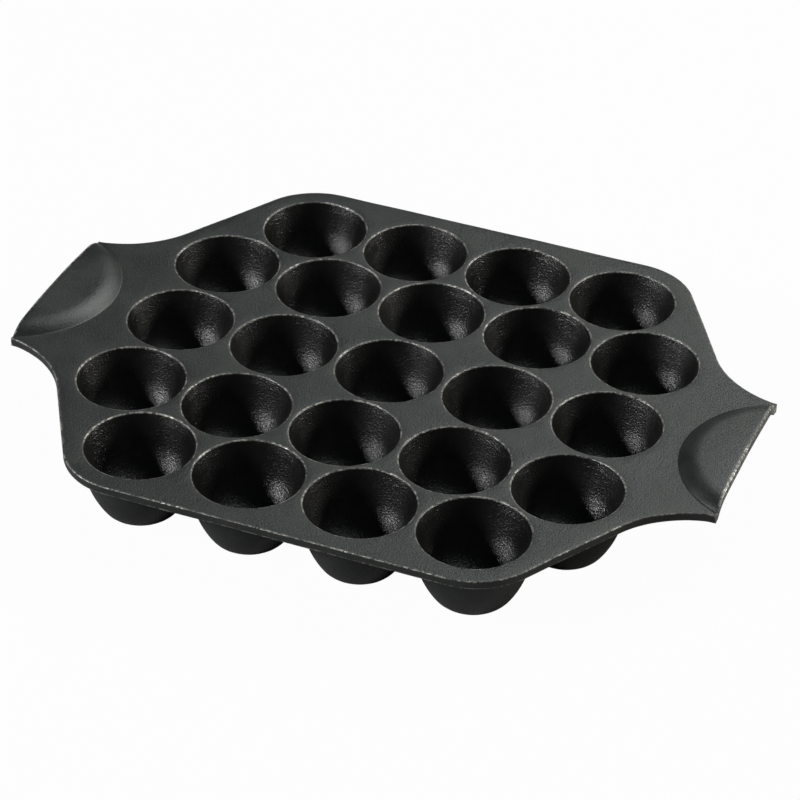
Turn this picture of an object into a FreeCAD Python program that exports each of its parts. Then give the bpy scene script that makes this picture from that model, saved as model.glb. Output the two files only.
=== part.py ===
import FreeCAD, Part
import math
import os
import Sketcher

# Cast-iron takoyaki pan: a flat plate with 23 round-bottomed cups and a hollow domed grip
# at each end. Millimetres, +Z up, +X to one grip. The cups' feet stand on the plane Z = 0
# and the middle cup is on the Z axis.

DRIVING_SIZES = (
    ("mouth_radius", 20.0, "radius of a cup's mouth at the plate's top face"),
    ("column_web", 2.7, "iron between two mouths of one row"),
    ("row_web", 2.2, "iron between two mouths of neighbouring rows"),
    ("edge_margin", 7.5, "iron outside the mouths of the outer cups"),
    ("plate_height", 28.0, "from the cups' feet to the plate's top face"),
    ("plate_thickness", 3.5, "thickness of the plate"),
    ("plate_edge_round", 0.8, "rounding of the plate's lower outline edge"),
    ("rim_round", 0.7, "rounding of a cup's mouth"),
    ("wall_draft", 14.0, "slope of a cup's inner wall, in degrees"),
    ("floor_thickness", 3.4, "iron under the middle of a cup"),
    ("neck_gap", 0.2, "air between the outer walls of two neighbouring cups"),
    ("belly_radius", 38.0, "curve of a cup's outer wall from the plate down"),
    ("foot_round", 8.0, "rounding between a cup's outer wall and its flat foot"),
    ("grip_land", 8.6, "flat iron between an end cup's mouth and the grip's crease"),
    ("grip_depth", 24.3, "from the crease's nearest point to the grip's end face"),
    ("grip_radius", 39.0, "plan radius of the crease round a grip"),
    ("horn_tip_width", 0.5, "blunt width of the plate's horn beside a grip"),
    ("grip_rise", 4.8, "height of the dome's crown over the plate's top face"),
    ("crown_radius", 360.0, "curve of the dome's broad top"),
    ("shoulder_radius", 8.0, "curve of the dome's shoulder above the crease"),
    ("crease_round", 1.0, "hollow rounding where the dome leaves the plate"),
    ("grip_wall", 3.3, "thickness of the dome's shell"),
)

# Cups in each row, from the front row to the back row.
ROW_COUNTS = (4, 5, 5, 5, 4)

doc = FreeCAD.newDocument("TakoyakiPan")
sheet = doc.addObject("Spreadsheet::Sheet", "Sizes")
for row, (alias, size, meaning) in enumerate(DRIVING_SIZES, start=1):
    sheet.set(f"A{row}", str(size))
    sheet.setAlias(f"A{row}", alias)
    sheet.set(f"B{row}", meaning)
doc.recompute()

# Sizes that follow from the driving ones, as expressions on the sheet.
column_pitch = "(2 * Sizes.mouth_radius + Sizes.column_web)"
row_pitch = "(2 * Sizes.mouth_radius + Sizes.row_web)"
nested_pitch = f"sqrt(pow({row_pitch}; 2) - pow({column_pitch} / 2; 2))"
outer_row = f"({row_pitch} + {nested_pitch})"
edge_radius = "(Sizes.mouth_radius + Sizes.edge_margin)"
underside = "(Sizes.plate_height - Sizes.plate_thickness)"
neck_outer = f"(({row_pitch} - Sizes.neck_gap) / 2)"
neck_inner = "(Sizes.mouth_radius - Sizes.plate_thickness * tan(Sizes.wall_draft))"
bowl_radius = (
    f"(({neck_inner} * cos(Sizes.wall_draft) - ({underside} - Sizes.floor_thickness)"
    " * sin(Sizes.wall_draft)) / (1 - sin(Sizes.wall_draft)))"
)
crease_apex = f"(2 * {column_pitch} + Sizes.mouth_radius + Sizes.grip_land)"
grip_axis = f"({crease_apex} + Sizes.grip_radius)"
half_length = f"({crease_apex} + Sizes.grip_depth)"
end_from_axis = "(Sizes.grip_radius - Sizes.grip_depth)"


def number(expression):
    """The present value of an expression on the sheet."""
    return float(sheet.evalExpression(expression))


def bind(sketch, constraint, name, expression):
    """Adds a dimension to a sketch and ties it to the sheet."""
    index = sketch.addConstraint(constraint)
    sketch.renameConstraint(index, name)
    sketch.setExpression(f"Constraints.{name}", expression)


def new_body(label):
    body = doc.addObject("PartDesign::Body", label)
    body.Label = label
    return body


def new_sketch(body, name, role, height="0"):
    """A sketch on one of the body's own origin planes, raised by a height."""
    sketch = body.newObject("Sketcher::SketchObject", name)
    plane = next(f for f in body.Origin.OriginFeatures if f.Role == role)
    sketch.AttachmentSupport = [(plane, "")]
    sketch.MapMode = "FlatFace"
    sketch.setExpression("AttachmentOffset.Base.z", height)
    return sketch


def add_line(sketch, start, end, construction=False):
    return sketch.addGeometry(Part.LineSegment(start, end), construction)


def add_arc(sketch, centre, start, end):
    """An arc about a centre, counter-clockwise from one point to another."""
    circle = Part.Circle(centre, FreeCAD.Vector(0, 0, 1), (start - centre).Length)
    first = math.atan2(start.y - centre.y, start.x - centre.x)
    last = math.atan2(end.y - centre.y, end.x - centre.x)
    return sketch.addGeometry(Part.ArcOfCircle(circle, first, last))


def point(x, y):
    return FreeCAD.Vector(x, y, 0)


def cup_places():
    """Name and place of each cup, as expressions, row by row from the front left."""
    row_places = (f"-{outer_row}", f"-{row_pitch}", "0", row_pitch, outer_row)
    for row, (count, y) in enumerate(zip(ROW_COUNTS, row_places), start=1):
        for column in range(count):
            steps = column - (count - 1) / 2
            yield f"cup_row{row}_{column + 1}", f"{steps} * {column_pitch}", y


def draw_quarter_outline(body):
    """A quarter of the plate's outline: grip bite, horn, slanted side, corner, long side."""
    sketch = new_sketch(body, "QuarterOutline", "XY_Plane")
    lean = point(number(f"{nested_pitch} / {row_pitch}"), number(f"{column_pitch} / (2 * {row_pitch})"))
    corner_cup = point(number(f"1.5 * {column_pitch}"), number(outer_row))
    side_cup = point(number(f"2 * {column_pitch}"), number(row_pitch))
    radius = number(edge_radius)
    bite_centre = point(number(grip_axis), 0)
    bite_apex = point(number(crease_apex), 0)
    end_x = number(half_length)
    bite_end = point(end_x, number(f"sqrt(pow(Sizes.grip_radius; 2) - pow({end_from_axis}; 2))"))
    horn_tip = bite_end + point(0, number("Sizes.horn_tip_width"))
    side_start = side_cup + lean * radius
    side_end = corner_cup + lean * radius
    back_start = corner_cup + point(0, radius)
    back_end = point(0, back_start.y)
    reach = side_start - horn_tip
    flank_radius = -reach.dot(reach) / (2 * reach.dot(lean))
    flank_centre = side_start + lean * flank_radius

    middle = add_line(sketch, point(0, 0), bite_apex)
    bite = add_arc(sketch, bite_centre, bite_end, bite_apex)
    tip = add_line(sketch, bite_end, horn_tip)
    flank = add_arc(sketch, flank_centre, side_start, horn_tip)
    side = add_line(sketch, side_start, side_end)
    corner = add_arc(sketch, corner_cup, side_end, back_start)
    back = add_line(sketch, back_start, back_end)
    across = add_line(sketch, back_end, point(0, 0))
    spoke = add_line(sketch, side_cup, side_start, construction=True)

    sketch.addConstraint([
        Sketcher.Constraint("Coincident", middle, 1, -1, 1),
        Sketcher.Constraint("Coincident", middle, 2, bite, 2),
        Sketcher.Constraint("Coincident", bite, 1, tip, 1),
        Sketcher.Constraint("Coincident", tip, 2, flank, 2),
        Sketcher.Constraint("Tangent", flank, 1, side, 1),
        Sketcher.Constraint("Tangent", side, 2, corner, 1),
        Sketcher.Constraint("Tangent", corner, 2, back, 1),
        Sketcher.Constraint("Coincident", back, 2, across, 1),
        Sketcher.Constraint("Coincident", across, 2, -1, 1),
        Sketcher.Constraint("Coincident", spoke, 2, side, 1),
        Sketcher.Constraint("Horizontal", middle),
        Sketcher.Constraint("Vertical", tip),
        Sketcher.Constraint("Horizontal", back),
        Sketcher.Constraint("Vertical", across),
        Sketcher.Constraint("Perpendicular", spoke, side),
        Sketcher.Constraint("PointOnObject", bite, 3, -1),
    ])
    bind(sketch, Sketcher.Constraint("DistanceX", -1, 1, bite, 3, bite_centre.x), "grip_axis", grip_axis)
    bind(sketch, Sketcher.Constraint("Radius", bite, number("Sizes.grip_radius")), "bite_radius",
         "Sizes.grip_radius")
    bind(sketch, Sketcher.Constraint("DistanceX", -1, 1, tip, 1, end_x), "half_length", half_length)
    bind(sketch, Sketcher.Constraint("DistanceY", tip, 1, tip, 2, horn_tip.y - bite_end.y), "tip_width",
         "Sizes.horn_tip_width")
    bind(sketch, Sketcher.Constraint("DistanceX", -1, 1, corner, 3, corner_cup.x), "corner_cup_x",
         f"1.5 * {column_pitch}")
    bind(sketch, Sketcher.Constraint("DistanceY", -1, 1, corner, 3, corner_cup.y), "corner_cup_y", outer_row)
    bind(sketch, Sketcher.Constraint("Radius", corner, radius), "corner_radius", edge_radius)
    bind(sketch, Sketcher.Constraint("DistanceX", -1, 1, spoke, 1, side_cup.x), "side_cup_x",
         f"2 * {column_pitch}")
    bind(sketch, Sketcher.Constraint("DistanceY", -1, 1, spoke, 1, side_cup.y), "side_cup_y", row_pitch)
    bind(sketch, Sketcher.Constraint("Distance", spoke, radius), "side_offset", edge_radius)
    return sketch


def draw_mouths(body):
    """A circle over every cup, on the plate's top face."""
    sketch = new_sketch(body, "Mouths", "XY_Plane", "Sizes.plate_thickness")
    first = None
    for name, x, y in cup_places():
        centre = point(number(x), number(y))
        circle = Part.Circle(centre, FreeCAD.Vector(0, 0, 1), number("Sizes.mouth_radius"))
        mouth = sketch.addGeometry(circle)
        bind(sketch, Sketcher.Constraint("DistanceX", -1, 1, mouth, 3, centre.x), f"{name}_x", x)
        bind(sketch, Sketcher.Constraint("DistanceY", -1, 1, mouth, 3, centre.y), f"{name}_y", y)
        if first is None:
            first = mouth
            radius = Sketcher.Constraint("Radius", mouth, number("Sizes.mouth_radius"))
            bind(sketch, radius, "mouth_radius", "Sizes.mouth_radius")
        else:
            sketch.addConstraint(Sketcher.Constraint("Equal", first, mouth))
    return sketch


def at_height(edge, height):
    return all(abs(v.Z - height) < 0.001 for v in edge.Vertexes)


def is_circle_of(edge, radius):
    return isinstance(edge.Curve, Part.Circle) and abs(edge.Curve.Radius - radius) < 0.001


def round_edges(body, name, base, wanted, expression):
    """Rounds the edges of a feature that a test picks, by a radius from the sheet."""
    names = [f"Edge{i}" for i, edge in enumerate(base.Shape.Edges, start=1) if wanted(edge)]
    fillet = body.newObject("PartDesign::Fillet", name)
    fillet.Base = (base, names)
    fillet.setExpression("Radius", expression)
    doc.recompute()
    return fillet


def make_plate():
    """The flat sheet: outline with four horns, and a tapered mouth over every cup."""
    body = new_body("top_plate")
    body.setExpression("Placement.Base.z", underside)
    pad = body.newObject("PartDesign::Pad", "QuarterPlate")
    pad.Profile = draw_quarter_outline(body)
    pad.setExpression("Length", "Sizes.plate_thickness")
    doc.recompute()

    whole = body.newObject("PartDesign::MultiTransform", "WholePlate")
    whole.Originals = [pad]
    mirrors = []
    for name, role in (("LeftHalf", "YZ_Plane"), ("FrontHalf", "XZ_Plane")):
        mirror = body.newObject("PartDesign::Mirrored", name)
        mirror.MirrorPlane = (next(f for f in body.Origin.OriginFeatures if f.Role == role), [""])
        mirrors.append(mirror)
    whole.Transformations = mirrors
    body.Tip = whole
    doc.recompute()

    bite = number("Sizes.grip_radius")
    tip = number("Sizes.horn_tip_width")
    lower = round_edges(
        body, "LowerEdge", whole,
        lambda e: at_height(e, 0) and not is_circle_of(e, bite) and e.Length > 2 * tip,
        "Sizes.plate_edge_round")

    pocket = body.newObject("PartDesign::Pocket", "Mouths")
    pocket.Profile = draw_mouths(body)
    pocket.setExpression("Length", "Sizes.plate_thickness")
    pocket.setExpression("TaperAngle", "-Sizes.wall_draft")
    doc.recompute()
    if not pocket.Shape.Volume < 0.5 * lower.Shape.Volume:
        raise RuntimeError("the mouths took too little from the plate")

    top = number("Sizes.plate_thickness")
    mouth = number("Sizes.mouth_radius")
    round_edges(
        body, "MouthRims", pocket,
        lambda e: at_height(e, top) and is_circle_of(e, mouth),
        "Sizes.rim_round")
    return body


def draw_cup_profile(body):
    """Half of a cup's section: neck, bellied outer wall, flat foot and the tapered hollow."""
    sketch = new_sketch(body, "CupProfile", "XZ_Plane")
    neck_height = number(underside)
    outer = number(neck_outer)
    inner = number(neck_inner)
    belly = number("Sizes.belly_radius")
    foot_round = number("Sizes.foot_round")
    floor = number("Sizes.floor_thickness")
    draft = math.radians(number("Sizes.wall_draft"))
    belly_centre = point(outer - belly, neck_height)
    drop = neck_height - foot_round
    foot_centre = point(belly_centre.x + math.sqrt((belly - foot_round) ** 2 - drop ** 2), foot_round)
    foot_start = belly_centre + (foot_centre - belly_centre).normalize() * belly
    foot_end = point(foot_centre.x, 0)
    outward = point(math.cos(draft), -math.sin(draft))
    bowl = (point(inner, neck_height) - point(0, floor)).dot(outward) / (1 - math.sin(draft))
    bowl_centre = point(0, floor + bowl)
    bowl_end = bowl_centre + outward * bowl

    neck = add_line(sketch, point(inner, neck_height), point(outer, neck_height))
    wall = add_arc(sketch, belly_centre, foot_start, point(outer, neck_height))
    corner = add_arc(sketch, foot_centre, foot_end, foot_start)
    foot = add_line(sketch, foot_end, point(0, 0))
    axis = add_line(sketch, point(0, 0), point(0, floor))
    hollow = add_arc(sketch, bowl_centre, point(0, floor), bowl_end)
    taper = add_line(sketch, bowl_end, point(inner, neck_height))

    sketch.addConstraint([
        Sketcher.Constraint("Coincident", neck, 2, wall, 2),
        Sketcher.Constraint("Tangent", wall, 1, corner, 2),
        Sketcher.Constraint("Tangent", corner, 1, foot, 1),
        Sketcher.Constraint("Coincident", foot, 2, -1, 1),
        Sketcher.Constraint("Coincident", foot, 2, axis, 1),
        Sketcher.Constraint("Coincident", axis, 2, hollow, 1),
        Sketcher.Constraint("Tangent", hollow, 2, taper, 1),
        Sketcher.Constraint("Coincident", taper, 2, neck, 1),
        Sketcher.Constraint("Horizontal", neck),
        Sketcher.Constraint("Horizontal", foot),
        Sketcher.Constraint("Vertical", axis),
        Sketcher.Constraint("Horizontal", wall, 3, wall, 2),
        Sketcher.Constraint("PointOnObject", hollow, 3, -2),
    ])
    bind(sketch, Sketcher.Constraint("DistanceY", -1, 1, neck, 1, neck_height), "neck_height", underside)
    bind(sketch, Sketcher.Constraint("DistanceX", -1, 1, neck, 1, inner), "neck_inner", neck_inner)
    bind(sketch, Sketcher.Constraint("DistanceX", -1, 1, neck, 2, outer), "neck_outer", neck_outer)
    bind(sketch, Sketcher.Constraint("Radius", wall, belly), "belly_radius", "Sizes.belly_radius")
    bind(sketch, Sketcher.Constraint("Radius", corner, foot_round), "foot_round", "Sizes.foot_round")
    bind(sketch, Sketcher.Constraint("DistanceY", axis, 1, axis, 2, floor), "floor_thickness",
         "Sizes.floor_thickness")
    bind(sketch, Sketcher.Constraint("DistanceX", taper, 1, taper, 2, inner - bowl_end.x), "taper_run",
         f"({neck_inner} - {bowl_radius} * cos(Sizes.wall_draft))")
    return sketch


def make_cup(name, x, y):
    """One round-bottomed cup, from the plate's underside down to its flat foot."""
    body = new_body(name)
    body.setExpression("Placement.Base.x", x)
    body.setExpression("Placement.Base.y", y)
    revolution = body.newObject("PartDesign::Revolution", "CupWall")
    sketch = draw_cup_profile(body)
    revolution.Profile = sketch
    revolution.ReferenceAxis = (sketch, ["V_Axis"])
    revolution.Angle = 360
    doc.recompute()
    return body


def draw_grip_profile(body):
    """Section of a grip's dome, out from the axis of its crease: crown, shoulder, crease, shell."""
    sketch = new_sketch(body, "GripProfile", "XZ_Plane")
    radius = number("Sizes.grip_radius")
    rise = number("Sizes.grip_rise")
    crown = number("Sizes.crown_radius")
    shoulder = number("Sizes.shoulder_radius")
    crease = number("Sizes.crease_round")
    shell = number("Sizes.grip_wall")
    base = -number("Sizes.plate_thickness")
    crown_centre = point(0, rise - crown)
    crease_centre = point(radius, crease)
    shoulder_centre = meeting_point(crown_centre, crown - shoulder, crease_centre, shoulder + crease)
    outward = (shoulder_centre - crown_centre).normalize()
    towards_crease = (crease_centre - shoulder_centre).normalize()
    crown_end = crown_centre + outward * crown
    shoulder_end = shoulder_centre + towards_crease * shoulder
    inner_shoulder = shoulder - shell
    inner_end = crown_centre + outward * (crown - shell)
    toe_reach = math.sqrt(inner_shoulder ** 2 - (base - shoulder_centre.y) ** 2)
    toe = point(shoulder_centre.x + toe_reach, base)

    top = add_arc(sketch, crown_centre, crown_end, point(0, rise))
    bend = add_arc(sketch, shoulder_centre, shoulder_end, crown_end)
    hollow = add_arc(sketch, crease_centre, shoulder_end, point(radius, 0))
    wall = add_line(sketch, point(radius, 0), point(radius, base))
    sole = add_line(sketch, point(radius, base), toe)
    inner_bend = add_arc(sketch, shoulder_centre, toe, inner_end)
    ceiling = add_arc(sketch, crown_centre, inner_end, point(0, rise - shell))
    axis = add_line(sketch, point(0, rise - shell), point(0, rise))

    sketch.addConstraint([
        Sketcher.Constraint("Tangent", top, 1, bend, 2),
        Sketcher.Constraint("Tangent", bend, 1, hollow, 1),
        Sketcher.Constraint("Vertical", hollow, 3, hollow, 2),
        Sketcher.Constraint("Coincident", hollow, 2, wall, 1),
        Sketcher.Constraint("Coincident", wall, 2, sole, 1),
        Sketcher.Constraint("Coincident", sole, 2, inner_bend, 1),
        Sketcher.Constraint("Tangent", inner_bend, 2, ceiling, 1),
        Sketcher.Constraint("Coincident", ceiling, 2, axis, 1),
        Sketcher.Constraint("Coincident", axis, 2, top, 2),
        Sketcher.Constraint("Vertical", wall),
        Sketcher.Constraint("Horizontal", sole),
        Sketcher.Constraint("Vertical", axis),
        Sketcher.Constraint("PointOnObject", axis, 1, -2),
        Sketcher.Constraint("PointOnObject", top, 3, -2),
        Sketcher.Constraint("Coincident", ceiling, 3, top, 3),
        Sketcher.Constraint("Coincident", inner_bend, 3, bend, 3),
        Sketcher.Constraint("PointOnObject", wall, 1, -1),
    ])
    bind(sketch, Sketcher.Constraint("DistanceX", -1, 1, wall, 1, radius), "grip_radius",
         "Sizes.grip_radius")
    bind(sketch, Sketcher.Constraint("DistanceY", -1, 1, top, 2, rise), "grip_rise", "Sizes.grip_rise")
    bind(sketch, Sketcher.Constraint("Radius", top, crown), "crown_radius", "Sizes.crown_radius")
    bind(sketch, Sketcher.Constraint("Radius", bend, shoulder), "shoulder_radius", "Sizes.shoulder_radius")
    bind(sketch, Sketcher.Constraint("Radius", hollow, crease), "crease_round", "Sizes.crease_round")
    bind(sketch, Sketcher.Constraint("DistanceY", axis, 1, axis, 2, shell), "grip_wall", "Sizes.grip_wall")
    bind(sketch, Sketcher.Constraint("DistanceY", wall, 2, wall, 1, -base), "plate_thickness",
         "Sizes.plate_thickness")
    return sketch


def meeting_point(first, first_distance, second, second_distance):
    """The point at given distances from two points, left of the way from the first to the second."""
    way = second - first
    apart = way.Length
    along = (apart ** 2 + first_distance ** 2 - second_distance ** 2) / (2 * apart)
    aside = math.sqrt(first_distance ** 2 - along ** 2)
    way.normalize()
    return first + way * along + point(-way.y, way.x) * aside


def draw_end_cut(body):
    """A rectangle over all of the dome that lies past the grip's end face."""
    sketch = new_sketch(body, "EndCut", "XY_Plane", "2 * Sizes.grip_rise")
    near = number(end_from_axis)
    far = number("2 * Sizes.grip_radius")
    corners = [point(near, -far), point(near, far), point(-far, far), point(-far, -far)]
    sides = [add_line(sketch, a, b) for a, b in zip(corners, corners[1:] + corners[:1])]
    for side, following in zip(sides, sides[1:] + sides[:1]):
        sketch.addConstraint(Sketcher.Constraint("Coincident", side, 2, following, 1))
    sketch.addConstraint([
        Sketcher.Constraint("Horizontal", sides[1]),
        Sketcher.Constraint("Vertical", sides[2]),
        Sketcher.Constraint("Horizontal", sides[3]),
        Sketcher.Constraint("Symmetric", sides[0], 1, sides[0], 2, -1),
    ])
    bind(sketch, Sketcher.Constraint("DistanceX", -1, 1, sides[0], 1, near), "end_face", end_from_axis)
    bind(sketch, Sketcher.Constraint("DistanceX", sides[2], 1, -1, 1, far), "far_side",
         "2 * Sizes.grip_radius")
    bind(sketch, Sketcher.Constraint("DistanceY", -1, 1, sides[0], 2, far), "half_width",
         "2 * Sizes.grip_radius")
    return sketch


def make_grip(name, side):
    """A domed shell that fills the bite in one end of the plate. The side is -1 or 1 in X."""
    body = new_body(name)
    body.Placement = FreeCAD.Placement(
        FreeCAD.Vector(), FreeCAD.Rotation(FreeCAD.Vector(0, 0, 1), 90 * (1 + side)))
    body.setExpression("Placement.Base.x", f"{side} * {grip_axis}")
    body.setExpression("Placement.Base.z", "Sizes.plate_height")
    dome = body.newObject("PartDesign::Revolution", "Dome")
    sketch = draw_grip_profile(body)
    dome.Profile = sketch
    dome.ReferenceAxis = (sketch, ["V_Axis"])
    dome.Angle = 360
    doc.recompute()
    cut = body.newObject("PartDesign::Pocket", "EndFace")
    cut.Profile = draw_end_cut(body)
    cut.Type = "ThroughAll"
    doc.recompute()
    if not cut.Shape.Volume < 0.5 * dome.Shape.Volume:
        raise RuntimeError(f"{name}: the end cut took too little away")
    return body


def check(bodies):
    """Stops the build if any object failed or any piece isn't one sound solid."""
    for item in doc.Objects:
        if {"Invalid", "Error"} & set(item.State):
            raise RuntimeError(f"{item.Label} failed: {item.State}")
    for body in bodies:
        shape = body.Shape
        if shape.isNull() or not shape.isValid() or len(shape.Solids) != 1:
            raise RuntimeError(f"{body.Label} is not one valid solid")


def main():
    bodies = [make_plate()]
    for name, x, y in cup_places():
        bodies.append(make_cup(name, x, y))
    bodies.append(make_grip("left_grip", -1))
    bodies.append(make_grip("right_grip", 1))
    doc.recompute()
    check(bodies)
    os.makedirs("parts", exist_ok=True)
    for body in bodies:
        body.Shape.exportStep(f"parts/{body.Label}.step")
        print(f"{body.Label}: {body.Shape.Volume:.0f} mm3")


main()
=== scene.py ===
import math

import bmesh
import bpy
from mathutils import Matrix, Vector, noise
from mathutils.geometry import delaunay_2d_cdt


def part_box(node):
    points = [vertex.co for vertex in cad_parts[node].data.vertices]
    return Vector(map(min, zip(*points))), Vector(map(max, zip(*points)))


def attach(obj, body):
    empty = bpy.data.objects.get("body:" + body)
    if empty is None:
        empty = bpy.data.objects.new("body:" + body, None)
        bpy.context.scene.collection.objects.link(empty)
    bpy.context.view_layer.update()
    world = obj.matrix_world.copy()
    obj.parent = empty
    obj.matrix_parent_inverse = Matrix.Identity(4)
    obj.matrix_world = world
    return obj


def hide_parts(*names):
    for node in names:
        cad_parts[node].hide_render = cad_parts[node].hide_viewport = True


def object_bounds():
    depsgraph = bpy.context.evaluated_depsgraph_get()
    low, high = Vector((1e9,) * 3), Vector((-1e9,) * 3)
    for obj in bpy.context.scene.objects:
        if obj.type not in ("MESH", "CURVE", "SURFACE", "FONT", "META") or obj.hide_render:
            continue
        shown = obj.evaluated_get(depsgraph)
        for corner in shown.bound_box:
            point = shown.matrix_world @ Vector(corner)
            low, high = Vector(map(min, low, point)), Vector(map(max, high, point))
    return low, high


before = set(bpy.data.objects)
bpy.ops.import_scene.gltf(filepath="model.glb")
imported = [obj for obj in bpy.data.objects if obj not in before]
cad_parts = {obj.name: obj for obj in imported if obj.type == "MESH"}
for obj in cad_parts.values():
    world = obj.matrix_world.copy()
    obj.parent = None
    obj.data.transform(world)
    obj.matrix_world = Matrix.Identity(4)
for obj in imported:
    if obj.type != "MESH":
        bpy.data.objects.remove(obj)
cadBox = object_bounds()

mm = 0.001

# What the whole casting shares. Lengths here and in the other dictionaries are in millimetres.
casting = {
    "sharpAngle": 38.0,        # degrees; edges over it stay crisp
    "waviness": 0.10,          # how far the as-cast faces wander
    "wavinessSize": 16.0,
    "pitting": 0.02,
    "pittingSize": 2.4,
    "seed": 7,                 # picks the waves and pits; with zero they change each run
    "seamTolerance": 0.05,
    "wallSteps": 3,
    "wornAngle": 16.0,         # degrees between faces; an edge this sharp is rubbed bare
}
noise.seed_set(casting["seed"])


# The corners of a node's box in millimetres.
def lowHigh(node):
    low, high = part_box(node)
    return low / mm, high / mm


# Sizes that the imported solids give.
plateLow, plateHigh = lowHigh("top_plate")
plateTop = plateHigh.z
underside = plateLow.z
plateThickness = plateTop - underside
panHalfLength = plateHigh.x
panHalfWidth = plateHigh.y
boxLow = Vector(cadBox[0]) / mm
boxHigh = Vector(cadBox[1]) / mm
cupCentres = {}
for name in sorted(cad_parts):
    if name.startswith("cup_"):
        low, high = lowHigh(name)
        cupCentres[name] = Vector(((low.x + high.x) / 2, (low.y + high.y) / 2))
cupLow, cupHigh = lowHigh("cup_row3_3")
neckRadius = (cupHigh.x - cupLow.x) / 2
gripLow, gripHigh = lowHigh("right_grip")
creaseApex = gripLow.x
gripHalfWidth = gripHigh.y
gripDepth = panHalfLength - creaseApex
creaseRadius = (gripDepth ** 2 + gripHalfWidth ** 2) / (2 * gripDepth)
creaseAxis = creaseApex + creaseRadius


# How far the sand mould moved a point of the face.
def castingShift(p):
    slow = noise.noise_vector(p / casting["wavinessSize"]) * casting["waviness"]
    quick = noise.noise_vector(p / casting["pittingSize"] + Vector((7, 3, 5))) * casting["pitting"]
    return slow + quick


# True where two pieces of the one casting meet, so no edge shows there.
def onSeam(p):
    close = casting["seamTolerance"]
    flat = Vector((p.x, p.y))
    for side in (-1, 1):
        if abs((flat - Vector((side * creaseAxis, 0))).length - creaseRadius) < close:
            return True
    near = min((flat - c).length for c in cupCentres.values())
    return abs(p.z - underside) < close and near < neckRadius + 0.1


# Welds, roughens and shades a mesh in millimetres, and makes it an object in metres.
# Vertices inside the mouths and cups are marked "bowl", and those on outer edges "edge".
def finishMesh(name, bm, inBowl):
    bmesh.ops.remove_doubles(bm, verts=bm.verts, dist=0.002)
    bmesh.ops.dissolve_degenerate(bm, dist=0.001, edges=bm.edges)
    wires = [edge for edge in bm.edges if not edge.link_faces]
    bmesh.ops.delete(bm, geom=wires, context="EDGES")
    bmesh.ops.recalc_face_normals(bm, faces=bm.faces)
    edgeLayer = bm.verts.layers.float.new("edge")
    bowlLayer = bm.verts.layers.float.new("bowl")
    for v in bm.verts:
        if abs(v.co.x) > panHalfLength - 0.3:
            v[edgeLayer] = 1.0      # the ground ends of the grips
        elif not onSeam(v.co):
            angles = [e.calc_face_angle_signed() for e in v.link_edges if e.is_manifold]
            v[edgeLayer] = min(max(max(angles) / math.radians(casting["wornAngle"]), 0.0), 1.0)
        v[bowlLayer] = 1.0 if inBowl(v.co) else 0.0
    for v in bm.verts:
        moved = v.co + castingShift(v.co)
        if v.co.z < 0.01:
            moved.z = 0.0       # the feet stay flat
        for axis in range(3):
            moved[axis] = min(max(moved[axis], boxLow[axis]), boxHigh[axis])
        v.co = moved * mm
    limit = math.radians(casting["sharpAngle"])
    for face in bm.faces:
        face.smooth = True
    for edge in bm.edges:
        edge.smooth = not (edge.is_manifold and edge.calc_face_angle() > limit)
    loose = sum(1 for edge in bm.edges if not edge.is_manifold)
    mesh = bpy.data.meshes.new(name)
    bm.to_mesh(mesh)
    bm.free()
    piece = bpy.data.objects.new(name, mesh)
    bpy.context.scene.collection.objects.link(piece)
    print(f"{name}: {len(mesh.polygons)} faces, {loose} open edges")
    return piece


def addLoop(bm, points):
    return [bm.verts.new(p) for p in points]


# A strip of faces between two rows of vertices that match one to one.
def bridge(bm, first, second, closed=True):
    count = len(first)
    for i in range(count if closed else count - 1):
        j = (i + 1) % count
        corners = [first[i], first[j], second[j], second[i]]
        corners = [v for n, v in enumerate(corners) if v.co != corners[n - 1].co]
        if len(corners) > 2:
            bm.faces.new(corners)


# Triangles between closed rings at one height, with evenly spread points among them.
def fillFlat(bm, rings, height, spacing, keep):
    flat = []
    edges = []
    for ring in rings:
        start = len(flat)
        flat += [Vector((p[0], p[1])) for p in ring]
        edges += [(start + i, start + (i + 1) % len(ring)) for i in range(len(ring))]
    rowStep = spacing * math.sqrt(3) / 2
    rows = int(panHalfWidth / rowStep)
    columns = int(panHalfLength / spacing)
    for row in range(-rows, rows + 1):
        for column in range(-columns, columns + 1):
            spot = Vector(((column + 0.5 * (row % 2)) * spacing, row * rowStep))
            if keep(spot, spacing * 0.45):
                flat.append(spot)
    points, _, faces, _, _, _ = delaunay_2d_cdt(flat, edges, [], 1, 1e-5)
    made = [bm.verts.new((p.x, p.y, height)) for p in points]
    for face in faces:
        centre = sum((points[i] for i in face), Vector((0, 0))) / len(face)
        if keep(centre, 0.0):
            bm.faces.new([made[i] for i in face])
    for v in made:
        if not v.link_faces:
            bm.verts.remove(v)


# The plate: outline, mouths and their roundings.
plate = {
    "mouthRadius": 20.0,
    "wallDraft": 14.0,         # degrees
    "rimRound": 0.75,
    "topEdgeRound": 0.4,
    "lowerEdgeRound": 0.8,
    "hornTipWidth": 0.5,
    "hornRoundShare": 0.4,     # the rounding near a horn's tip, as a share of its width there
    "outlineSpacing": 1.2,
    "pointSpacing": 3.4,
    "roundSteps": 4,
    "taperSteps": 4,
    "mouthSteps": 96,
}

mouthSlope = math.tan(math.radians(plate["wallDraft"]))
seamRadius = plate["mouthRadius"] - plateThickness * mouthSlope


# Points on an arc, angles in radians, both ends included.
def arcPoints(centre, radius, first, last, count):
    return [
        Vector((centre[0] + radius * math.cos(a), centre[1] + radius * math.sin(a)))
        for a in (first + (last - first) * i / count for i in range(count + 1))
    ]


def linePoints(start, end, spacing):
    count = max(2, round((end - start).length / spacing))
    return [start.lerp(end, i / count) for i in range(count + 1)]


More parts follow.
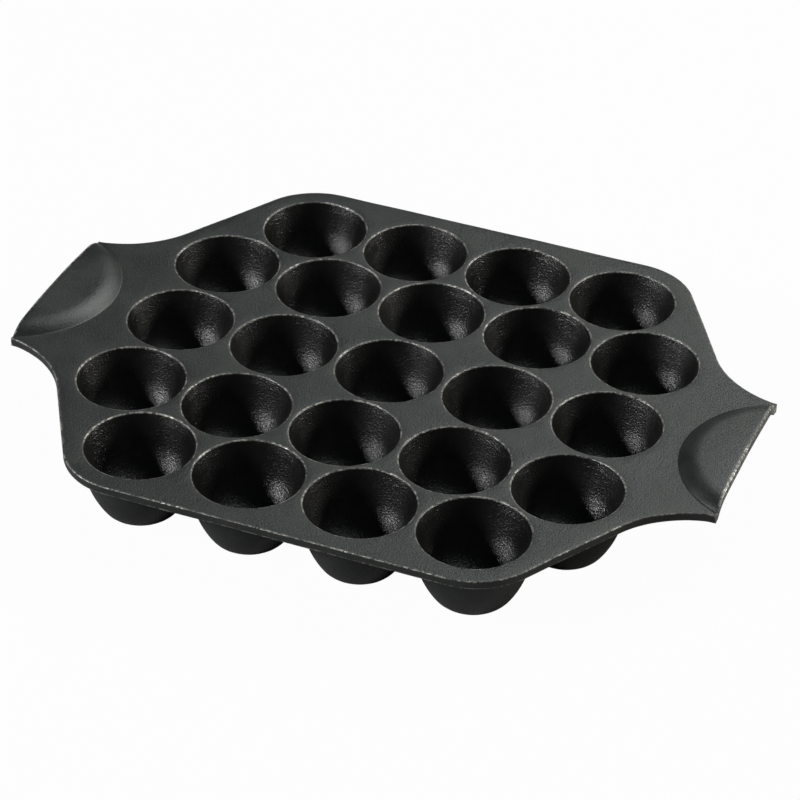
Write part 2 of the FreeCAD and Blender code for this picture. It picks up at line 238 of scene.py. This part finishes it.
# Y of the points along a grip's crease, closer together towards the horn tips.
def creaseLevels():
    count = grip["sections"]
    return [gripHalfWidth * math.sin(math.pi * (i / count - 0.5)) for i in range(count + 1)]


def creaseX(y):
    return creaseAxis - math.sqrt(max(creaseRadius ** 2 - y * y, 0.0))


# From the right horn's tip round to the middle of the back side, with outward normals.
def quarterOutline():
    spacing = plate["outlineSpacing"]
    cornerCup = cupCentres["cup_row5_4"]
    sideCup = cupCentres["cup_row4_5"]
    offset = panHalfWidth - cornerCup.y
    along = (cornerCup - sideCup).normalized()
    lean = Vector((along.y, -along.x))
    sideStart = sideCup + lean * offset
    sideEnd = cornerCup + lean * offset
    tip = Vector((panHalfLength, gripHalfWidth + plate["hornTipWidth"]))
    reach = sideStart - tip
    flankRadius = -reach.dot(reach) / (2 * reach.dot(lean))
    flankCentre = sideStart + lean * flankRadius
    tipWay = tip - flankCentre
    startWay = sideStart - flankCentre
    first = math.atan2(tipWay.y, tipWay.x) % (2 * math.pi)
    last = math.atan2(startWay.y, startWay.x) % (2 * math.pi)
    steps = round(abs(first - last) * flankRadius / spacing)
    flank = arcPoints(flankCentre, flankRadius, first, last, steps)
    path = [(p, (flankCentre - p).normalized()) for p in flank]
    path += [(p, lean) for p in linePoints(sideStart, sideEnd, spacing)[1:]]
    leanAngle = math.atan2(lean.y, lean.x)
    steps = round((math.pi / 2 - leanAngle) * offset / spacing)
    corner = arcPoints(cornerCup, offset, leanAngle, math.pi / 2, steps)
    path += [(p, (p - cornerCup).normalized()) for p in corner[1:]]
    back = linePoints(corner[-1], Vector((0, panHalfWidth)), spacing)
    path += [(p, Vector((0, 1))) for p in back[1:]]
    return path


# (point, normal, is on the crease) round the plate, counter-clockwise from the right end.
def wholeOutline():
    quarter = quarterOutline()
    crease = [(Vector((creaseX(y), y)), Vector((1, 0)), True) for y in creaseLevels()]
    backRight = [(p, n, False) for p, n in quarter]
    backLeft = [(Vector((-p.x, p.y)), Vector((-n.x, n.y)), False) for p, n in reversed(quarter[:-1])]
    half = crease + backRight + backLeft
    return half + [(-p, -n, onCrease) for p, n, onCrease in half]


# The rounding at a point of the outline: none on the crease, little at a horn's tip.
def edgeRound(p, onCrease, radius):
    if onCrease:
        return 0.0
    near = min(
        (p - Vector((side * creaseAxis, 0))).length - creaseRadius
        for side in (-1, 1)
    )
    return min(radius, plate["hornRoundShare"] * max(near, 0.0))


# The flat sheet of iron, pierced by the tapered mouths.
def makePlate():
    bm = bmesh.new()
    outline = wholeOutline()
    steps = plate["roundSteps"]
    rows = []
    for i in range(steps + 1):
        a = math.pi / 2 * (1 - i / steps)
        row = []
        for p, normal, onCrease in outline:
            r = edgeRound(p, onCrease, plate["topEdgeRound"])
            inner = p - normal * r * (1 - math.cos(a))
            row.append((inner.x, inner.y, plateTop - r * (1 - math.sin(a))))
        rows.append(row)
    for i in range(1, casting["wallSteps"]):
        row = []
        for p, _, onCrease in outline:
            high = plateTop - edgeRound(p, onCrease, plate["topEdgeRound"])
            low = underside + edgeRound(p, onCrease, plate["lowerEdgeRound"])
            row.append((p.x, p.y, high + (low - high) * i / casting["wallSteps"]))
        rows.append(row)
    for i in range(steps + 1):
        a = math.pi / 2 * i / steps
        row = []
        for p, normal, onCrease in outline:
            r = edgeRound(p, onCrease, plate["lowerEdgeRound"])
            inner = p - normal * r * (1 - math.cos(a))
            row.append((inner.x, inner.y, underside + r * (1 - math.sin(a))))
        rows.append(row)
    loops = [addLoop(bm, row) for row in rows]
    for upper, lower in zip(loops, loops[1:]):
        bridge(bm, upper, lower)

    count = plate["mouthSteps"]
    angles = [2 * math.pi * i / count for i in range(count)]
    rimCentre = plate["mouthRadius"] + plate["rimRound"]
    profile = []
    turn = math.pi / 2 - math.radians(plate["wallDraft"])
    for i in range(steps + 1):
        a = turn * i / steps
        profile.append((
            rimCentre - plate["rimRound"] * math.sin(a),
            plateTop - plate["rimRound"] * (1 - math.cos(a)),
        ))
    lastR, lastZ = profile[-1]
    taper = plate["taperSteps"]
    for i in range(1, taper + 1):
        z = lastZ + (underside - lastZ) * i / taper
        profile.append((lastR + (seamRadius - lastR) * i / taper, z))
    for centre in cupCentres.values():
        rings = [
            addLoop(bm, [(centre.x + r * math.cos(a), centre.y + r * math.sin(a), z) for a in angles])
            for r, z in profile
        ]
        for upper, lower in zip(rings, rings[1:]):
            bridge(bm, upper, lower)

    # Whether a spot lies on the iron at one level, some way in from the edges.
    def keeper(hole, boundary):
        side = [Vector((p[0], p[1])) for p in boundary]

        def keep(spot, margin):
            if any((spot - c).length < hole + margin for c in cupCentres.values()):
                return False
            for end in (-1, 1):
                if (spot - Vector((end * creaseAxis, 0))).length < creaseRadius + margin:
                    return False
            if margin == 0.0:
                return True
            inside = False
            for a, b in zip(side, side[1:] + side[:1]):
                if (a.y > spot.y) != (b.y > spot.y):
                    if spot.x < a.x + (b.x - a.x) * (spot.y - a.y) / (b.y - a.y):
                        inside = not inside
            return inside and min((spot - q).length for q in side) > margin
        return keep

    for boundary, hole, height in (
        (rows[0], rimCentre, plateTop),
        (rows[-1], seamRadius, underside),
    ):
        circles = [
            [(c.x + hole * math.cos(a), c.y + hole * math.sin(a)) for a in angles]
            for c in cupCentres.values()
        ]
        outer = []
        for p in boundary:
            spot = Vector((p[0], p[1]))
            if not outer or (spot - outer[-1]).length > 0.002:
                outer.append(spot)
        fillFlat(bm, [outer] + circles, height, plate["pointSpacing"], keeper(hole, outer))

    # True on the tapered wall of a mouth.
    def inMouth(p):
        flat = Vector((p.x, p.y))
        near = min((flat - c).length for c in cupCentres.values())
        return near < plate["mouthRadius"] + 0.15

    return finishMesh("plateCasting", bm, inMouth)


# One cup, below the plate.
cup = {
    "floorThickness": 3.4,
    "bellyRadius": 38.0,
    "footRound": 8.0,
    "neckFillet": 1.7,
    "filletSteps": 5,
    "bellySteps": 14,
    "footRoundSteps": 8,
    "footSteps": 5,
    "bowlSteps": 18,
}


# The height of the middle of a cup's round bottom, and its radius.
def bowlBall():
    draft = math.radians(plate["wallDraft"])
    drop = underside - cup["floorThickness"]
    bowl = (seamRadius * math.cos(draft) - drop * math.sin(draft)) / (1 - math.sin(draft))
    return cup["floorThickness"] + bowl, bowl


# (radius, height) round a cup's section, from the inner seam over the foot and back.
def cupProfile():
    height = underside
    belly = cup["bellyRadius"]
    foot = cup["footRound"]
    fillet = cup["neckFillet"]
    bellyX = neckRadius - belly
    footX = bellyX + math.sqrt((belly - foot) ** 2 - (height - foot) ** 2)
    joint = math.atan2(foot - height, footX - bellyX)
    points = [(seamRadius, height), ((seamRadius + neckRadius) / 2, height)]
    for i in range(cup["filletSteps"] + 1):
        a = math.pi / 2 * i / cup["filletSteps"]
        points.append((neckRadius + fillet * (1 - math.sin(a)), height - fillet * (1 - math.cos(a))))
    start = -math.asin(fillet / belly)
    for p in arcPoints((bellyX, height), belly, start, joint, cup["bellySteps"]):
        points.append((p.x, p.y))
    for p in arcPoints((footX, foot), foot, joint, -math.pi / 2, cup["footRoundSteps"])[1:]:
        points.append((p.x, p.y))
    for i in range(1, cup["footSteps"]):
        points.append((footX * (1 - i / cup["footSteps"]), 0.0))
    points.append((0.0, 0.0))
    draft = math.radians(plate["wallDraft"])
    centreHeight, bowl = bowlBall()
    for p in arcPoints((0, centreHeight), bowl, -math.pi / 2, -draft, cup["bowlSteps"]):
        points.append((p.x, p.y))
    lastR, lastZ = points[-1]
    taper = plate["taperSteps"]
    for i in range(1, taper + 1):
        z = lastZ + (height - lastZ) * i / taper
        points.append((lastR + (seamRadius - lastR) * i / taper, z))
    return points


# How far the inside of a cup is from its axis at a height.
def innerReach(z):
    centreHeight, bowl = bowlBall()
    if z > centreHeight - bowl * math.sin(math.radians(plate["wallDraft"])):
        return seamRadius - (underside - z) * mouthSlope
    return math.sqrt(max(bowl ** 2 - (z - centreHeight) ** 2, 0.0))


# One cup, turned about its own axis.
def makeCup(name, centre):
    bm = bmesh.new()
    count = plate["mouthSteps"]
    rings = []
    for r, z in cupProfile():
        reach = max(r, 0.0)
        rings.append(addLoop(bm, [
            (centre.x + reach * math.cos(2 * math.pi * i / count),
             centre.y + reach * math.sin(2 * math.pi * i / count), z)
            for i in range(count)
        ]))
    for upper, lower in zip(rings, rings[1:]):
        bridge(bm, upper, lower)

    # True on the inner side of the cup.
    def inCup(p):
        if p.z < cup["floorThickness"] - 0.1:
            return False
        reach = math.hypot(p.x - centre.x, p.y - centre.y)
        return reach < innerReach(p.z) + 0.6

    return finishMesh(name + "_casting", bm, inCup)


# The grips, one at each end.
grip = {
    "rise": 4.8,
    "crownRadius": 360.0,
    "shoulderRadius": 13.0,
    "creaseRound": 1.0,
    "wall": 3.3,
    "topEdgeRound": 0.8,
    "lowerEdgeRound": 0.5,
    "sections": 84,
    "crownSteps": 30,
    "ceilingSteps": 22,
    "roundSteps": 4,
    "crowding": 1.7,           # over 1, the steps lie closer at the crease and the toe
}


# The point at given distances from two points, left of the way from the first.
def meetingPoint(first, firstDistance, second, secondDistance):
    way = second - first
    apart = way.length
    along = (apart ** 2 + firstDistance ** 2 - secondDistance ** 2) / (2 * apart)
    aside = math.sqrt(firstDistance ** 2 - along ** 2)
    way.normalize()
    return first + way * along + Vector((-way.y, way.x)) * aside


# Section of a grip, out from the axis of its crease, with heights over the plate's top.
class Dome:
    def __init__(self):
        rise, crown = grip["rise"], grip["crownRadius"]
        shoulder, crease = grip["shoulderRadius"], grip["creaseRound"]
        self.crownCentre = Vector((0, rise - crown))
        self.creaseCentre = Vector((creaseRadius, crease))
        self.shoulderCentre = meetingPoint(
            self.crownCentre, crown - shoulder, self.creaseCentre, shoulder + crease)
        outward = (self.shoulderCentre - self.crownCentre).normalized()
        self.crownEnd = (self.crownCentre + outward * crown).x
        toCrease = (self.creaseCentre - self.shoulderCentre).normalized()
        self.shoulderEnd = (self.shoulderCentre + toCrease * shoulder).x
        self.ceilingEnd = (self.crownCentre + outward * (crown - grip["wall"])).x
        inner = shoulder - grip["wall"]
        depth = -plateThickness - self.shoulderCentre.y
        self.toe = self.shoulderCentre.x + math.sqrt(inner ** 2 - depth ** 2)

    def top(self, r):
        if r <= self.crownEnd:
            return self.crownCentre.y + math.sqrt(grip["crownRadius"] ** 2 - r * r)
        if r <= self.shoulderEnd:
            reach = r - self.shoulderCentre.x
            return self.shoulderCentre.y + math.sqrt(grip["shoulderRadius"] ** 2 - reach ** 2)
        reach = min(creaseRadius - r, grip["creaseRound"])
        return grip["creaseRound"] - math.sqrt(max(grip["creaseRound"] ** 2 - reach ** 2, 0.0))

    def under(self, r):
        if r >= self.toe:
            return -plateThickness
        if r <= self.ceilingEnd:
            return self.crownCentre.y + math.sqrt((grip["crownRadius"] - grip["wall"]) ** 2 - r * r)
        reach = r - self.shoulderCentre.x
        inner = grip["shoulderRadius"] - grip["wall"]
        return self.shoulderCentre.y + math.sqrt(max(inner ** 2 - reach ** 2, 0.0))


# (x, height over the plate's top) round the grip's section at one Y, from the crease.
def gripSection(dome, y):
    endX = panHalfLength
    startX = creaseX(y)
    width = endX - startX
    upperRound = min(grip["topEdgeRound"], 0.3 * width)
    lowerRound = min(grip["lowerEdgeRound"], 0.3 * width)

    def radiusAt(x):
        return math.hypot(creaseAxis - x, y)

    def xAt(r):
        return creaseAxis - math.sqrt(max(r * r - y * y, 0.0))

    points = []
    near = radiusAt(endX - upperRound)
    for i in range(grip["crownSteps"] + 1):
        share = (i / grip["crownSteps"]) ** grip["crowding"]
        r = creaseRadius + (near - creaseRadius) * share
        points.append((min(xAt(r), endX - upperRound), dome.top(r)))
    topZ = dome.top(near)
    for i in range(1, grip["roundSteps"] + 1):
        a = math.pi / 2 * (1 - i / grip["roundSteps"])
        points.append((endX - upperRound * (1 - math.cos(a)), topZ - upperRound * (1 - math.sin(a))))
    below = radiusAt(endX - lowerRound)
    ceiling = dome.under(below)
    high, low = topZ - upperRound, ceiling + lowerRound
    for i in range(1, casting["wallSteps"] + 1):
        points.append((endX, high + (low - high) * i / casting["wallSteps"]))
    for i in range(1, grip["roundSteps"] + 1):
        a = -math.pi / 2 * i / grip["roundSteps"]
        points.append((endX - lowerRound * (1 - math.cos(a)), low + lowerRound * math.sin(a)))
    toe = max(dome.toe, below)
    for i in range(1, grip["ceilingSteps"] + 1):
        share = 1 - (1 - i / grip["ceilingSteps"]) ** grip["crowding"]
        r = below + (toe - below) * share
        points.append((min(xAt(r), endX - lowerRound), dome.under(r)))
    sole = xAt(toe)
    for i in range(1, 4):
        points.append((sole + (startX - sole) * i / 3, -plateThickness))
    for i in range(1, casting["wallSteps"]):
        points.append((startX, -plateThickness * (1 - i / casting["wallSteps"])))
    return points


# The domed shell that fills the bite at one end of the plate.
def makeGrip(name, side):
    bm = bmesh.new()
    dome = Dome()
    sections = [
        addLoop(bm, [(side * x, y, plateTop + z) for x, z in gripSection(dome, y)])
        for y in creaseLevels()
    ]
    for first, second in zip(sections, sections[1:]):
        bridge(bm, first, second)
    return finishMesh(name + "_casting", bm, lambda p: False)


plateObject = makePlate()
cupObjects = {name: makeCup(name, centre) for name, centre in cupCentres.items()}
gripObjects = {
    "left_grip": makeGrip("left_grip", -1),
    "right_grip": makeGrip("right_grip", 1),
}
print("casting built")


# Colours and finish of the iron, and the painted shade inside the mouths and cups. Grain sizes are in
# millimetres.
surface = {
    "season": (0.0050, 0.0062, 0.0066, 1),     # baked oil, the darker patches
    "seasonWorn": (0.0125, 0.0135, 0.0125, 1),   # the paler patches
    # painted shade: near-black for the inside of the mouths and cups, darker than the seasoning,
    # standing in for the shade in the hollows
    "bowlPaintedShade": (0.0012, 0.0012, 0.0012, 1),
    "bareIron": (0.40, 0.385, 0.355, 1),
    "fineGrain": 0.6,
    "sandGrain": 0.55,
    "patchSize": 26.0,
    "fleckSize": 1.6,
    "wearSize": 1.3,
    "wearStretch": 14.0,       # how long the stretches of more and less wear are
    "grainDepth": 0.12,
    "plateRoughness": 0.47,
    "bowlRoughness": 0.33,
    "wornRoughness": 0.38,
    "wornMetal": 0.8,
}
plateFinish = {"bump": 0.8, "smoothness": 0.0, "wear": 0.8}
cupFinish = {"bump": 0.8, "smoothness": 0.0, "wear": 0.5}
gripFinish = {"bump": 0.45, "smoothness": 0.05, "wear": 0.9}


# A shader group with named inputs and outputs, and its input and output nodes.
def newGroup(name, inputs, outputs):
    group = bpy.data.node_groups.new(name, "ShaderNodeTree")
    for socket, kind, value in inputs:
        made = group.interface.new_socket(socket, in_out="INPUT", socket_type=kind)
        if value is not None:
            made.default_value = value
    for socket, kind in outputs:
        group.interface.new_socket(socket, in_out="OUTPUT", socket_type=kind)
    return group, group.nodes.new("NodeGroupInput"), group.nodes.new("NodeGroupOutput")


# A math node; a number or a socket can be given for each input.
def mathNode(tree, operation, first, second=None, clamp=False):
    node = tree.nodes.new("ShaderNodeMath")
    node.operation = operation
    node.use_clamp = clamp
    for socket, value in zip(node.inputs, (first, second)):
        if isinstance(value, (int, float)):
            socket.default_value = value
        elif value is not None:
            tree.links.new(value, socket)
    return node.outputs[0]


# Noise with features of a size in millimetres.
def noiseNode(tree, vector, size, detail, roughness=0.55):
    node = tree.nodes.new("ShaderNodeTexNoise")
    node.inputs["Scale"].default_value = 1 / (size * mm)
    node.inputs["Detail"].default_value = detail
    node.inputs["Roughness"].default_value = roughness
    tree.links.new(vector, node.inputs["Vector"])
    return node.outputs["Fac"]


# Spreads what lies between two levels of a mask over 0 to 1, or over other limits.
def rangeNode(tree, value, low, high, toLow=0.0, toHigh=1.0):
    node = tree.nodes.new("ShaderNodeMapRange")
    node.interpolation_type = "SMOOTHSTEP"
    limits = {"From Min": low, "From Max": high, "To Min": toLow, "To Max": toHigh}
    for socket, amount in limits.items():
        node.inputs[socket].default_value = amount
    tree.links.new(value, node.inputs["Value"])
    return node.outputs["Result"]


# Mixes two colours, each given as a tuple or a socket.
def mixColor(tree, factor, first, second):
    node = tree.nodes.new("ShaderNodeMix")
    node.data_type = "RGBA"
    tree.links.new(factor, node.inputs["Factor"])
    for socket, value in ((node.inputs[6], first), (node.inputs[7], second)):
        if isinstance(value, tuple):
            socket.default_value = value
        else:
            tree.links.new(value, socket)
    return node.outputs[2]


# Mixes two values, each given as a number or a socket.
def mixValue(tree, factor, first, second):
    node = tree.nodes.new("ShaderNodeMix")
    tree.links.new(factor, node.inputs["Factor"])
    for socket, value in ((node.inputs["A"], first), (node.inputs["B"], second)):
        if isinstance(value, (int, float)):
            socket.default_value = value
        else:
            tree.links.new(value, socket)
    return node.outputs["Result"]


# The skin that the sand left: fine on the open faces, coarse and pitted in the cups.
def makeGrainGroup():
    tree, given, result = newGroup(
        "castGrain",
        [("Vector", "NodeSocketVector", None), ("Bowl", "NodeSocketFloat", 0.0)],
        [("Height", "NodeSocketFloat")])
    vector = given.outputs["Vector"]
    fine = noiseNode(tree, vector, surface["fineGrain"], 3.0)
    swell = noiseNode(tree, vector, surface["fineGrain"] * 9, 2.0)
    swell = mathNode(tree, "MULTIPLY", swell, 1.2)
    plain = mathNode(tree, "ADD", swell, mathNode(tree, "MULTIPLY", fine, 2.4))
    sand = noiseNode(tree, vector, surface["sandGrain"], 2.0, 0.6)
    pits = tree.nodes.new("ShaderNodeTexVoronoi")
    pits.inputs["Scale"].default_value = 1 / (surface["sandGrain"] * 1.3 * mm)
    tree.links.new(vector, pits.inputs["Vector"])
    coarse = mathNode(tree, "ADD", mathNode(tree, "MULTIPLY", sand, 1.9), pits.outputs["Distance"])
    height = mixValue(tree, given.outputs["Bowl"], plain, coarse)
    tree.links.new(height, result.inputs["Height"])
    return tree


# Patches of thicker and thinner seasoning, and a near-black painted shade inside the mouths and cups.
def makeSeasonAndShadeGroup():
    tree, given, result = newGroup(
        "seasonMottleAndShade",
        [("Vector", "NodeSocketVector", None), ("Bowl", "NodeSocketFloat", 0.0)],
        [("Color", "NodeSocketColor"), ("Roughness", "NodeSocketFloat")])
    vector = given.outputs["Vector"]
    bowl = given.outputs["Bowl"]
    patches = rangeNode(tree, noiseNode(tree, vector, surface["patchSize"], 5.0, 0.62), 0.36, 0.66)
    flecks = rangeNode(tree, noiseNode(tree, vector, surface["fleckSize"], 2.0), 0.56, 0.74, 0.0, 0.5)
    amount = mathNode(tree, "ADD", mathNode(tree, "MULTIPLY", patches, 0.7), flecks, clamp=True)
    openColor = mixColor(tree, amount, surface["season"], surface["seasonWorn"])
    # Inside the mouths and cups the colour turns to the near-black painted shade.
    tree.links.new(mixColor(tree, bowl, openColor, surface["bowlPaintedShade"]), result.inputs["Color"])
    spread = mathNode(tree, "MULTIPLY", mathNode(tree, "SUBTRACT", patches, 0.5), 0.10)
    level = mixValue(tree, bowl, surface["plateRoughness"], surface["bowlRoughness"])
    tree.links.new(mathNode(tree, "ADD", level, spread), result.inputs["Roughness"])
    return tree


# Where an edge is rubbed bare: broken up by the grain along the sharp edges.
def makeWearGroup():
    tree, given, result = newGroup(
        "edgeWear",
        [("Vector", "NodeSocketVector", None), ("Edge", "NodeSocketFloat", 0.0),
         ("Amount", "NodeSocketFloat", 0.5)],
        [("Mask", "NodeSocketFloat")])
    vector = given.outputs["Vector"]
    broken = rangeNode(tree, noiseNode(tree, vector, surface["wearSize"], 3.0, 0.7), 0.40, 0.66)
    stretches = noiseNode(tree, vector, surface["wearStretch"], 2.0)
    long = rangeNode(tree, stretches, 0.35, 0.65, 0.25, 1.0)
    sharp = rangeNode(tree, given.outputs["Edge"], 0.55, 0.95)
    mask = mathNode(tree, "MULTIPLY", mathNode(tree, "MULTIPLY", broken, long), sharp)
    tree.links.new(mathNode(tree, "MULTIPLY", mask, given.outputs["Amount"]), result.inputs["Mask"])
    return tree


grainGroup = makeGrainGroup()
seasonAndShadeGroup = makeSeasonAndShadeGroup()
wearGroup = makeWearGroup()


# Cast iron from the shared groups, with one piece's own finish.
def makeIron(name, finish):
    material = bpy.data.materials.new(name)
    material.use_nodes = True
    tree = material.node_tree
    shader = tree.nodes["Principled BSDF"]
    coords = tree.nodes.new("ShaderNodeTexCoord").outputs["Object"]
    marks = {}
    for mark in ("edge", "bowl"):
        node = tree.nodes.new("ShaderNodeAttribute")
        node.attribute_name = mark
        marks[mark] = node.outputs["Fac"]
    groups = {}
    for group in (grainGroup, seasonAndShadeGroup, wearGroup):
        node = tree.nodes.new("ShaderNodeGroup")
        node.node_tree = group
        tree.links.new(coords, node.inputs["Vector"])
        if "Bowl" in node.inputs:
            tree.links.new(marks["bowl"], node.inputs["Bowl"])
        groups[group.name] = node
    wear = groups["edgeWear"]
    wear.inputs["Amount"].default_value = finish["wear"]
    tree.links.new(marks["edge"], wear.inputs["Edge"])
    mask = wear.outputs["Mask"]
    # The seasoning colour, with the painted shade inside the mouths and cups, goes under the bare
    # edges.
    season = groups["seasonMottleAndShade"]
    color = mixColor(tree, mask, season.outputs["Color"], surface["bareIron"])
    tree.links.new(color, shader.inputs["Base Color"])
    tree.links.new(mathNode(tree, "MULTIPLY", mask, surface["wornMetal"]), shader.inputs["Metallic"])
    skin = mathNode(tree, "SUBTRACT", season.outputs["Roughness"], finish["smoothness"])
    tree.links.new(mixValue(tree, mask, skin, surface["wornRoughness"]), shader.inputs["Roughness"])
    bump = tree.nodes.new("ShaderNodeBump")
    bump.inputs["Strength"].default_value = finish["bump"]
    bump.inputs["Distance"].default_value = surface["grainDepth"] * mm
    tree.links.new(groups["castGrain"].outputs["Height"], bump.inputs["Height"])
    tree.links.new(bump.outputs["Normal"], shader.inputs["Normal"])
    return material


plateIron = makeIron("plateIron", plateFinish)
cupIron = makeIron("cupIron", cupFinish)
gripIron = makeIron("gripIron", gripFinish)
pieces = [("top_plate", plateObject, plateIron)]
pieces += [(name, piece, cupIron) for name, piece in cupObjects.items()]
pieces += [(name, piece, gripIron) for name, piece in gripObjects.items()]
for node, piece, iron in pieces:
    piece.data.materials.append(iron)
    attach(piece, "root")
    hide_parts(node)
print("iron finished")

# The camera that the photograph was taken with, in millimetres.
cameraView = {
    "place": (360.1, -894.5, 700.4),
    "aim": (10.74, -15.87, 28.0),
    "roll": 0.98,              # degrees
    "lens": 142.93,
}


def addCamera():
    data = bpy.data.cameras.new("photoCamera")
    data.lens = cameraView["lens"]
    data.clip_start = 0.05
    data.clip_end = 20
    camera = bpy.data.objects.new("photoCamera", data)
    bpy.context.scene.collection.objects.link(camera)
    place = Vector(cameraView["place"]) * mm
    way = Vector(cameraView["aim"]) * mm - place
    turn = way.to_track_quat("-Z", "Y").to_matrix().to_4x4()
    roll = Matrix.Rotation(math.radians(cameraView["roll"]), 4, "Z")
    camera.matrix_world = Matrix.Translation(place) @ turn @ roll
    bpy.context.scene.camera = camera


# The floor: nearly white to the camera, and grey in what it throws back on the pan.
floorLook = {
    "halfSize": 4,             # metres
    "color": (0.22, 0.22, 0.22, 1),
    "whiteShare": 0.975,
}


def addFloor():
    bm = bmesh.new()
    bmesh.ops.create_grid(bm, x_segments=2, y_segments=2, size=floorLook["halfSize"])
    mesh = bpy.data.meshes.new("studioFloor")
    bm.to_mesh(mesh)
    bm.free()
    floor = bpy.data.objects.new("studioFloor", mesh)
    bpy.context.scene.collection.objects.link(floor)
    material = bpy.data.materials.new("paleFloor")
    material.use_nodes = True
    nodes = material.node_tree.nodes
    links = material.node_tree.links
    shader = nodes["Principled BSDF"]
    shader.inputs["Base Color"].default_value = floorLook["color"]
    shader.inputs["Roughness"].default_value = 0.9
    path = nodes.new("ShaderNodeLightPath")
    glow = nodes.new("ShaderNodeEmission")
    mix = nodes.new("ShaderNodeMixShader")
    share = nodes.new("ShaderNodeMath")
    share.operation = "MULTIPLY"
    share.inputs[1].default_value = floorLook["whiteShare"]
    links.new(path.outputs["Is Camera Ray"], share.inputs[0])
    links.new(share.outputs[0], mix.inputs["Fac"])
    links.new(shader.outputs[0], mix.inputs[1])
    links.new(glow.outputs[0], mix.inputs[2])
    # Clear from below, so the underside of the pan can be looked at.
    clear = nodes.new("ShaderNodeBsdfTransparent")
    sides = nodes.new("ShaderNodeMixShader")
    links.new(nodes.new("ShaderNodeNewGeometry").outputs["Backfacing"], sides.inputs["Fac"])
    links.new(mix.outputs[0], sides.inputs[1])
    links.new(clear.outputs[0], sides.inputs[2])
    links.new(sides.outputs[0], nodes["Material Output"].inputs["Surface"])
    floor.data.materials.append(material)
    floor.location.z = -0.05 * mm


# Soft lamps: direction from the pan, distance and size in metres, power in watts.
lamps = {
    "backSoftbox": {"way": (0.20, 0.60, 0.78), "distance": 1.3, "size": 1.15,
        "power": 14.5, "color": (0.955, 1.0, 0.965)},
    "leftFrontLamp": {"way": (-0.70, -0.53, 0.47), "distance": 1.6, "size": 0.34,
        "power": 36, "color": (1.0, 1.0, 1.0)},
    "rightBackLamp": {"way": (0.80, 0.47, 0.37), "distance": 1.6, "size": 0.34,
        "power": 22, "color": (1.0, 0.97, 0.91)},
}


def addLamps():
    for name, lamp in lamps.items():
        data = bpy.data.lights.new(name, "AREA")
        data.shape = "DISK"
        data.size = lamp["size"]
        data.energy = lamp["power"]
        data.color = lamp["color"]
        light = bpy.data.objects.new(name, data)
        bpy.context.scene.collection.objects.link(light)
        way = Vector(lamp["way"]).normalized()
        light.location = way * lamp["distance"]
        light.rotation_euler = (-way).to_track_quat("-Z", "Y").to_euler()


# The room round the pan: dim and bluish, but white where the camera sees it.
room = {
    "tint": (0.85, 0.98, 1.0, 1),
    "strength": 0.03,
}


def addWorld():
    world = bpy.data.worlds.new("studio")
    bpy.context.scene.world = world
    world.use_nodes = True
    tree = world.node_tree
    background = tree.nodes["Background"]
    path = tree.nodes.new("ShaderNodeLightPath")
    seen = path.outputs["Is Camera Ray"]
    tint = mixColor(tree, seen, room["tint"], (1.0, 1.0, 1.0, 1))
    tree.links.new(tint, background.inputs["Color"])
    tree.links.new(mixValue(tree, seen, room["strength"], 1.0), background.inputs["Strength"])


addCamera()
addFloor()
addWorld()
addLamps()
bpy.context.scene.view_settings.view_transform = "Standard"
print("studio ready")
